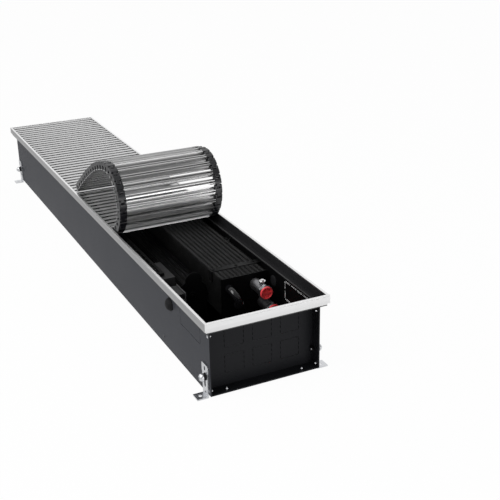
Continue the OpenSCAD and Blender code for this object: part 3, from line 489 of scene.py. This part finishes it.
# ---------------------------------------------------------------- edge frame
def frame_run(ends):
    """One side of the edge frame: the hooked section, with a fine groove outside under its
    top and its corners rounded, drawn between two mitred ends. ends(u, v) gives the two end
    points of the section point (u, v)."""
    section = soften([[0, 0], [0, -2.2], [0.25, -2.45], [0, -2.7], [0, -16], [1.4, -16],
                      [1.4, -2], [3.6, -2], [3.6, -20], [5.2, -20], [5.2, 0]],
                     [0.45, 0.1, 0.1, 0.1, 0.3, 0.3, 0.2, 0.2, 0.2, 0.2, 0.5])
    return skin(np.stack(ends(section[:, 0], section[:, 1])))


def side_ends(sign):
    """The mitred ends of a side frame: u runs inwards and v upwards from its outer edge."""
    def ends(u, v):
        x, y, z = sign * (FRAME_X - u), FRAME_Y - MITRE_GAP - u, FRAME_TOP + v
        return np.stack([x, -y, z], 1), np.stack([x, y, z], 1)
    return ends


def cross_ends(sign):
    """The mitred ends of an end frame, in the same way."""
    def ends(u, v):
        x, y, z = FRAME_X - MITRE_GAP - u, sign * (FRAME_Y - u), FRAME_TOP + v
        return np.stack([-x, y, z], 1), np.stack([x, y, z], 1)
    return ends


for name, ends, finish in (("frame_left", side_ends(-1), FRAME_SIDE_PAINTED_SHADE),
                           ("frame_right", side_ends(1), FRAME_SIDE_PAINTED_SHADE),
                           ("frame_near", cross_ends(-1), FRAME_END_PAINTED_LIGHT),
                           ("frame_far", cross_ends(1), FRAME_END_PAINTED_LIGHT)):
    put(name + "_profile", frame_run(ends), finish, "trough_body", "anodised", name)

# black seat profile: a strip that the slats lie on, and a thin upstand against the frame
rim, flat = LEDGE + UPSTAND, LEDGE + SEAT_SHEET
seat = soften([[SEAT_IN, LEDGE], [SEAT_OUT, LEDGE], [SEAT_OUT, rim],
               [SEAT_OUT - UPSTAND_SHEET, rim + 0.2], [SEAT_OUT - UPSTAND_SHEET - 0.05, flat],
               [SEAT_IN, flat]], [0.2, 0.05, 0.1, 0.1, 0.1, 0.3], 2)
stop_in = SEAT_END - UPSTAND_SHEET
stop = soften([[stop_in, LEDGE], [SEAT_END, LEDGE], [SEAT_END, rim], [stop_in, rim + 0.2]], 0.1, 2)
along, across = stop_in - 0.05, SEAT_OUT - 0.05
put("seat_profile", joined(mirrored(bar(seat, -along, along, axis=1)),
                           mirrored(bar(stop, -across, across), 1)),
    RUBBER, "trough_body", "rubber_black", "seat_strips")


# ---------------------------------------------------------------- grille
def slat_part():
    """One slat centred on Y = 0 with its underside on Z = 0, as three parts: the upper two
    thirds of the flange and its underside over the full width, and under it two legs with
    inward lips between the links."""
    half, high = FLANGE_HALF, SLAT_HIGH - FLANGE
    seam = high + FLANGE_UNDER
    upper = soften([[-half, seam], [half, seam], [half, SLAT_HIGH], [-half, SLAT_HIGH]],
                   [0.01, 0.01, 0.5, 0.5])
    under = soften([[-half, high], [half, high], [half, seam], [-half, seam]],
                   [0.2, 0.2, 0.01, 0.01])
    inner = LEG_SHEET - LEG
    leg = soften([[-LEG, 0], [-LIP, 0], [-LIP, LEG_SHEET], [inner, LEG_SHEET],
                  [inner, high + 0.2], [-LEG, high + 0.2]], 0.3, 2)
    one = bar(leg, 0.1 - LINK_IN, LINK_IN - 0.1)
    return (bar(upper, -SLAT_HALF, SLAT_HALF), bar(under, -SLAT_HALF, SLAT_HALF),
            mirrored(one, 1))


def link_part(ears=True, tongue=True):
    """The link at the right end of a slat and its mirror image at the left end: a block
    under the slat top, two ears round the peg towards -Y, a tongue and the peg towards +Y."""
    half, b, top = PITCH / 2, BLOCK_HALF, SLAT_HIGH - FLANGE - 0.05
    block = soften([[-b, 0], [b, 0], [b, top], [-b, top]], [1.2, 1.2, 0.3, 0.3])
    parts = [bar(block, LINK_IN, LINK_OUT, 0.35)]
    a = np.radians(np.linspace(90, 270, 9))
    low, high = PIVOT_HIGH - KNUCKLE, PIVOT_HIGH + KNUCKLE
    if ears:
        knuckle = np.stack([KNUCKLE * np.cos(a) - half, KNUCKLE * np.sin(a) + PIVOT_HIGH], 1)
        ear = np.concatenate([knuckle, [[1 - b, low], [1 - b, high]]])
        parts += [bar(ear, x, x + EAR, 0.3) for x in (LINK_IN, LINK_OUT - EAR)]
    if tongue:
        a = a + np.pi
        knuckle = np.stack([KNUCKLE * np.cos(a) + half, KNUCKLE * np.sin(a) + PIVOT_HIGH], 1)
        arm = np.concatenate([knuckle, [[b - 1, high], [b - 1, low]]])
        parts.append(bar(arm, LINK_IN + EAR + EAR_GAP, LINK_OUT - EAR - EAR_GAP, 0.3))
        parts.append(turned([[LINK_IN + 0.4, 0], [LINK_IN + 0.4, PEG], [LINK_OUT - 0.5, PEG],
                             [LINK_OUT - 0.4, PEG - 0.2], [LINK_OUT - 0.4, 0]],
                            (0, half, PIVOT_HIGH), 0, 12))
    return mirrored(joined(*parts))


upper, under, legs = slat_part()
laid = np.arange(LAID)
laid_at = np.stack([0 * laid, ROLL_Y + (laid + 0.5) * PITCH, 0 * laid + SLAT_Z], 1)
put("laid_slat_tops", repeated(upper, laid_at), SLAT, "laid_grille", "anodised", "laid_slats")
# undersides and legs in the lighter copy of the anodise: painted light
put("laid_slat_legs", repeated(joined(under, legs), laid_at), SLAT_UNDER_PAINTED_LIGHT, "laid_grille",
    "anodised", "laid_slats")
put("laid_slat_links", joined(repeated(link_part(), laid_at[:-1]),
                              repeated(link_part(tongue=False), laid_at[-1:])),
    LINK, "laid_grille", "link_plastic", "laid_links")

# each rolled slat turns about its pivot by the sum of the bends up to it, and the next
# pivot lies one pitch on in that direction
turn = np.cumsum(BENDS)
steps = PITCH * np.stack([-np.cos(turn), np.sin(turn)], 1)
pivots = np.concatenate([[[0, 0]], np.cumsum(steps, 0)[:-1]]) + [ROLL_Y, SLAT_Z + PIVOT_HIGH]
for i in range(ROLLED):
    c, s = math.cos(-turn[i]), math.sin(-turn[i])
    spin = np.array([[[1, 0, 0], [0, c, -s], [0, s, c]]])
    at = np.array([[0, *pivots[i]]]) + spin[0] @ np.array([0, -PITCH / 2, -PIVOT_HIGH])
    number = f"{i + 1:02d}"
    node = "roll_slat_" + number
    body = node + "_body"
    put("rolled_top_" + number, repeated(upper, at, spin), SLAT, body, "anodised", node)
    # undersides and legs in the lighter copy of the anodise: painted light
    put("rolled_legs_" + number, repeated(joined(under, legs), at, spin), SLAT_UNDER_PAINTED_LIGHT, body,
        "anodised", node)
    put("rolled_links_" + number, repeated(link_part(ears=i + 1 < ROLLED), at, spin), LINK,
        body, "link_plastic", node)


# ---------------------------------------------------------------- fasteners
def rivet_part(dome, grip, tail):
    """A blind rivet along +X with its head's rim on X = 0: a low dome or a flush cone outside,
    and inside the gripped sheets a tail that swells and ends in a small broken pin."""
    if dome:
        outside = [[-1.4, 0], [-1.35, 1.0], [-1.0, 2.2], [-0.5, 3.0], [0, 3.3], [0, 1.6]]
    else:
        outside = [[0.02, 0], [0.1, 1.0], [0.1, 1.25], [0.0, 1.4], [0, 2.8], [1.2, 1.6]]
    end = grip + tail
    inside = [[grip, 1.6], [grip, 2.1], [grip + 0.5, 2.4], [end - 1.6, 2.35], [end - 0.9, 2.0],
              [end - 0.7, 1.2], [end, 1.0], [end, 0]]
    return turned(outside + inside, (0, 0, 0), 0, 20)


def facing(x, y):
    """Turns +X of a part to the direction (x, y) in the X-Y plane, or up for (0, 0)."""
    if x == y == 0:
        return np.array([[0, 0, -1.0], [0, 1, 0], [1, 0, 0]])
    return np.array([[x, -y, 0], [y, x, 0], [0, 0, 1.0]])


def set_at(part, places, directions):
    """A part copied to every place, each copy facing its own direction (x, y)."""
    return repeated(part, np.array(places, float), np.stack([facing(*d) for d in directions]))


corners = [(a, b) for a in (-1, 1) for b in (-1, 1)]
flush = set_at(rivet_part(False, 2.5, 4.5),
               [(a * WALL, b * END_RIVET_Y, z) for a, b in corners for z in END_RIVET_Z],
               [(-a, 0) for a, b in corners for z in END_RIVET_Z])
domed = set_at(rivet_part(True, 2.4, 5.0),
               [(a * FLOOR_RIVET_X, b * END_RIVET_Y, FLOOR) for a, b in corners], [(0, 0)] * 4)
put("end_rivets", joined(flush, domed), ZINC, "trough_body", "zinc", "small_hardware")
wall_rivet = rivet_part(True, 2.6, 3.2)
put("board_rivets", set_at(wall_rivet, [(-WALL, *at) for at in BOARD_RIVETS], [(1, 0)] * 2),
    PAINTED, "trough_body", "zinc", "small_hardware")
put("clip_rivets", set_at(wall_rivet, [(WALL, *at) for at in CLIP_RIVETS], [(-1, 0)] * 2),
    ZINC, "trough_body", "zinc", "small_hardware")


def screw_part(radius, length):
    """A pan head screw along -X with its head's underside on X = 0, and a sunk centre for
    the driver."""
    head = [[1.2, 0], [1.2, 0.5 * radius], [1.8, 0.62 * radius], [1.75, radius],
            [1.4, 1.6 * radius], [0.8, 1.9 * radius], [0, 2 * radius]]
    shank = [[0, radius], [-length, radius], [-length, 0]]
    return turned(head + shank, (0, 0, 0), 0, 20)


strap_screws = set_at(screw_part(1.6, 4.5),
                      [(x, STRAP_SCREW_Y, STRAP_TOP) for x in STRAP_SCREW_X], [(0, 0)] * 3)
lid_screws = repeated(screw_part(1.4, 7.5),
                      [(LID_SCREW_X, LID_SCREW_Y, z) for z in LID_SCREW_Z])
put("small_screws", joined(strap_screws, lid_screws), BLACK, "trough_body", "zinc",
    "small_hardware")

# bearings of the fan shaft: an outer ring, a sunk shield and an inner ring
bearing = np.array([[-2.4, 2.6], [-2.4, 3.7], [-2.0, 3.9], [-1.9, 6.3], [-2.4, 6.6],
                    [-2.4, 7.7], [-2.1, 8.0], [2.1, 8.0], [2.4, 7.7], [2.4, 6.6],
                    [1.9, 6.3], [2.0, 3.9], [2.4, 3.7], [2.4, 2.6]])
put("fan_bearing_rings", joined(*(turned(bearing + [y, 0], (FAN_X, 0, FAN_Z), 1, 40, loop=True)
                                  for y in BEARING_Y)),
    BLACK, "trough_body", "zinc", "small_hardware")


# bare edges left by the cutter on both sides of the dashes round the walls' knock-outs:
# each dash runs down the middle of a slit and ends half a bridge short of the next. Their
# pale grey is partly the bare steel and partly a painted glint.
SLIT_HALF, HALF_BRIDGE, EDGE_OFF, EDGE_HALF = 0.55, 1.7, 0.95, 0.3


def dashes(low, high, count):
    """The two ends of each of count equal dashes from low to high."""
    stops = np.linspace(low, high, count + 1)
    return [(a + HALF_BRIDGE, b - HALF_BRIDGE) for a, b in zip(stops[:-1], stops[1:])]


def edges_beside(line):
    """The two sides of each edge, below and above a line."""
    return [(line + off - EDGE_HALF, line + off + EDGE_HALF) for off in (-EDGE_OFF, EDGE_OFF)]


edges = [(*run, *side) for z in (KNOCK_Z[0] + SLIT_HALF, KNOCK_Z[1] - SLIT_HALF)
         for run in dashes(*KNOCK_Y, 4) for side in edges_beside(z)]
edges += [(*side, *run) for y in (KNOCK_Y[0] + SLIT_HALF, KNOCK_Y[1] - SLIT_HALF)
          for run in dashes(*KNOCK_Z, 2) for side in edges_beside(y)]
burrs = [bar(soften([[y0, z0], [y1, z0], [y1, z1], [y0, z1]], 0.15, 1), *BURR_X, 0.08)
         for y0, y1, z0, z1 in edges]
put("knock_out_edges", mirrored(joined(*burrs)), CUT_EDGE_PAINTED_GLINT, "trough_body", "powder_coat")

# nut, sleeve and domed bolt of each bracket, drawn for the right side
nut = turned([[103.8, 4.6], [104.2, 5.9], [108.4, 5.9], [108.8, 4.6]], (0, 0, 0), 0, 48,
             [5, 5, 5, 5])
sleeve = turned([[114.4, 6.2], [114.8, 6.75], [118.0, 6.75], [DOME_X, 6.2]], (0, 0, 0), 0, 32)
shank = [[102.3, 0], [102.3, 2.6], [102.7, 3.0], [DOME_X, 3.0]]
dome = [[0, 7.2], [0.4, 7.6], [2.2, 7.5], [3.8, 6.8], [5.1, 5.7], [6.1, 4.5], [6.7, 3.5],
        [7.0, 2.9]]
socket = [[125.3, 2.7], [122.4, 2.6], [122.4, 0]]
bolt = turned(np.concatenate([shank, np.array(dome) + [DOME_X, 0], socket]), (0, 0, 0), 0, 48,
              [ROUND] * 12 + [2.4, 2.3, 2.3])
for name, part, finish, node in (("clamp_nuts", nut, BLACK, "small_hardware"),
                                 ("clamp_sleeves", sleeve, RUBBER, "bracket_bolts"),
                                 ("clamp_bolts", bolt, ZINC, "bracket_bolts")):
    clamps = set_at(part, [(0, b * BOLT_Y, BOLT_Z) for a, b in corners],
                    [(a, 0) for a, b in corners])
    put(name, clamps, finish, "trough_body", "zinc", node)


# ---------------------------------------------------------------- pipe connections
def plug_part(x, z):
    """Protective plug: a flange with a round rim, a sunk face with a raised cross and hub,
    and a spigot in the pipe end behind it."""
    rim = [[2.5, 0], [2.5, 9.6], [2.2, 10.1], [0.5, 10.3], [0, 10.8], [0, 12.2], [0.35, 12.8],
           [0.9, 13.0], [3.9, 13.0], [4.5, 12.6], [4.5, 9.2], [13.4, 9.2], [13.8, 8.8], [13.8, 0]]
    hub = [[0.7, 0], [0.7, 2.2], [1.0, 2.6], [3, 2.6], [3, 0]]
    rib = soften([[-1.3, -10.2], [1.3, -10.2], [1.3, 10.2], [-1.3, 10.2]], 0.3, 2)
    tall, flat = (bar(way + [x, z], PLUG_Y + 0.9, PLUG_Y + 3, 0.25, axis=1)
                  for way in (rib, rib[:, ::-1]))
    return joined(turned(rim, (x, PLUG_Y, z), 1, 64), tall, flat,
                  turned(hub, (x, PLUG_Y, z), 1, 24))


put("supply_plug", plug_part(*SUPPLY), RED, "supply_cap_body", "cap_red", "supply_cap")
put("return_plug", plug_part(*RETURN), RED, "return_cap_body", "cap_red", "return_cap")


def union_part(x, z):
    """Pipe union: a hexagonal nut with turned-off corners at the front, a groove, and a round
    body that ends in a bead round the tube."""
    profile = [[12, 0], [12, 9.3], [0, 9.3], [0, 12.2], [1.2, 14.4], [2.0, 15.2], [7.2, 15.2],
               [8.0, 14.4], [9.0, 12.4], [9.0, 10.6], [11, 10.6], [11.6, 12.0], [47.5, 12.0],
               [48.5, 11.2], [48.5, 9.4], [50.4, 8.6], [50.4, 0]]
    six = [ROUND] * 3 + [13.0] * 6 + [ROUND] * 8
    return turned(profile, (x, UNION_Y, z), 1, 72, six)


valve_axis = (RETURN[0], VALVE_Y, 0)
boss = turned([[118.0, 5.0], [118.0, 6.0], [124.2, 6.0], [125.0, 5.2]], valve_axis, 2, 40)
put("pipe_unions", joined(union_part(*RETURN), union_part(*SUPPLY), boss), PLATED,
    "trough_body", "fitting", "pipe_header")
valve = turned([[118.5, 0], [118.5, 2.9], [125.0, 2.9], [125.0, 6.4], [125.6, 7.1], [128.4, 7.1],
                [129.0, 6.3], [129.0, 1.7], [119.5, 1.7], [119.5, 0]], valve_axis, 2, 48,
               [ROUND] * 3 + [6.06] * 4 + [ROUND] * 3)
put("bleed_valve_body", valve, NICKEL, "trough_body", "nickel", "bleed_valve")


# ---------------------------------------------------------------- heat exchanger fins
def fin_block():
    """Thin wavy plates side by side: at X a plate stands at Y0 + A sin(2 pi (X - X0) / P),
    with wave A, wave length P, X0 the block's left side, and one step from Y0 to the next."""
    x = np.linspace(*FIN_X, 41)[:, None]
    y = WAVE * np.sin(2 * np.pi * (x - FIN_X[0]) / WAVE_LENGTH)
    low, high = FIN_Z
    thick = np.array([-FIN_HALF, FIN_HALF, FIN_HALF, -FIN_HALF])
    rings = np.stack(np.broadcast_arrays(x, y + thick, [low, low, high, high]), -1)
    rows = np.arange(FIN_Y[0] + 2, FIN_Y[1] - 1, FIN_STEP)
    return repeated(skin(rings), np.stack([0 * rows, rows, 0 * rows], 1))


put("wavy_fins", fin_block(), FIN, "trough_body", "black_coat", "exchanger_fins", sharp=50)


# ---------------------------------------------------------------- floor, light and camera
def stage_material():
    """White ground: plain white to the camera, less where the object keeps the light from
    it, and to reflections a ground that is darker at the left."""
    material, t, shader = start_material("white_ground", Base_Color=(0.9, 0.9, 0.9, 1),
                                         Roughness=0.9, Specular_IOR_Level=0.0)
    ways = t.add("ShaderNodeLightPath")
    seen, mirrored_in = t.add("ShaderNodeMixShader"), t.add("ShaderNodeMixShader")
    glow, sheen = t.add("ShaderNodeEmission", Strength=1.0), t.add("ShaderNodeEmission")
    place = t.add("ShaderNodeSeparateXYZ")
    t.link(t.add("ShaderNodeTexCoord").outputs["Object"], place.inputs[0])
    t.link(t.span(place.outputs["X"], -0.5, 0.0, 0.5, 0.95), sheen.inputs["Strength"])
    t.link(t.math("MULTIPLY", ways.outputs["Is Camera Ray"], 0.97), seen.inputs[0])
    t.link(shader.outputs[0], seen.inputs[1])
    t.link(glow.outputs[0], seen.inputs[2])
    t.link(ways.outputs["Is Glossy Ray"], mirrored_in.inputs[0])
    t.link(seen.outputs[0], mirrored_in.inputs[1])
    t.link(sheen.outputs[0], mirrored_in.inputs[2])
    t.link(mirrored_in.outputs[0], t.tree.nodes["Material Output"].inputs["Surface"])
    return material


# metres from here on; the ground lies a little under the feet, so that they share no plane
SPREAD, GROUND_Z = 8, -0.0005
outline = [(-SPREAD, -SPREAD), (SPREAD, -SPREAD), (SPREAD, SPREAD), (-SPREAD, SPREAD)]
ground = bpy.data.meshes.new("ground")
ground.from_pydata([(x, y, GROUND_Z) for x, y in outline], [], [(0, 1, 2, 3)])
ground.materials.append(stage_material())
floor = bpy.data.objects.new("ground", ground)
bpy.context.scene.collection.objects.link(floor)

# the world is white to the camera, dimmer as a light, and a studio to reflections, bright
# behind the object and dim on the viewer's side
AS_LIGHT, DIM, BRIGHT = 0.42, 0.26, 1.0
world = bpy.data.worlds.new("studio")
world.use_nodes = True
t = Tree(world.node_tree)
plain = world.node_tree.nodes["Background"]
plain.inputs["Color"].default_value = (1, 1, 1, 1)
plain.inputs["Strength"].default_value = AS_LIGHT
white = t.add("ShaderNodeBackground", Color=(1, 1, 1, 1), Strength=1.0)
studio = t.add("ShaderNodeBackground", Color=(1, 1, 1, 1))
way = t.add("ShaderNodeSeparateXYZ")
t.link(t.add("ShaderNodeTexCoord").outputs["Generated"], way.inputs[0])
t.link(t.span(way.outputs["Y"], -0.9, 0.6, DIM, BRIGHT), studio.inputs["Strength"])
ways = t.add("ShaderNodeLightPath")
first, second = t.add("ShaderNodeMixShader"), t.add("ShaderNodeMixShader")
straight = t.math("MAXIMUM", ways.outputs["Is Camera Ray"], ways.outputs["Is Transmission Ray"])
t.link(straight, first.inputs[0])
t.link(plain.outputs[0], first.inputs[1])
t.link(white.outputs[0], first.inputs[2])
t.link(ways.outputs["Is Glossy Ray"], second.inputs[0])
t.link(first.outputs[0], second.inputs[1])
t.link(studio.outputs[0], second.inputs[2])
t.link(second.outputs[0], world.node_tree.nodes["World Output"].inputs["Surface"])
bpy.context.scene.world = world


def lamp(name, place, target, size, power):
    """A rectangular lamp at a place, turned to a target, with its power in watts."""
    light = bpy.data.lights.new(name, "AREA")
    light.shape = "RECTANGLE"
    light.size, light.size_y = size
    light.energy = power
    thing = bpy.data.objects.new(name, light)
    bpy.context.scene.collection.objects.link(thing)
    thing.location = place
    thing.rotation_euler = (Vector(target) - Vector(place)).to_track_quat("-Z", "Y").to_euler()


lamp("key_left", (-2.3, -0.7, 2.3), (0, 0, 0.1), (1.6, 2.4), 62)
lamp("fill_front", (0.5, -2.9, 0.34), (0, -0.4, 0.12), (2.4, 0.5), 16)

# the camera's place, lens and turns, fitted to the corners of the frame and the trough
CAMERA_AT, LENS, SENSOR = (-0.6769, -2.0372, 0.9020), 68.06, 36.0
YAW, PITCH_DOWN, ROLL = np.radians([25.848, 22.906, -0.982])
camera = bpy.data.objects.new("camera", bpy.data.cameras.new("camera"))
bpy.context.scene.collection.objects.link(camera)
camera.data.sensor_width = SENSOR
camera.data.lens = LENS
right = np.array([math.cos(YAW), -math.sin(YAW), 0.0])
ahead = np.array([math.sin(YAW) * math.cos(PITCH_DOWN), math.cos(YAW) * math.cos(PITCH_DOWN),
                  -math.sin(PITCH_DOWN)])
up = np.cross(right, ahead)
right, up = (math.cos(ROLL) * right + math.sin(ROLL) * up,
             -math.sin(ROLL) * right + math.cos(ROLL) * up)
pose = np.eye(4)
pose[:3, 0], pose[:3, 1], pose[:3, 2] = right, up, -ahead
pose[:3, 3] = CAMERA_AT
camera.matrix_world = Matrix(pose.tolist())
bpy.context.scene.camera = camera
bpy.context.scene.view_settings.view_transform = "Standard"
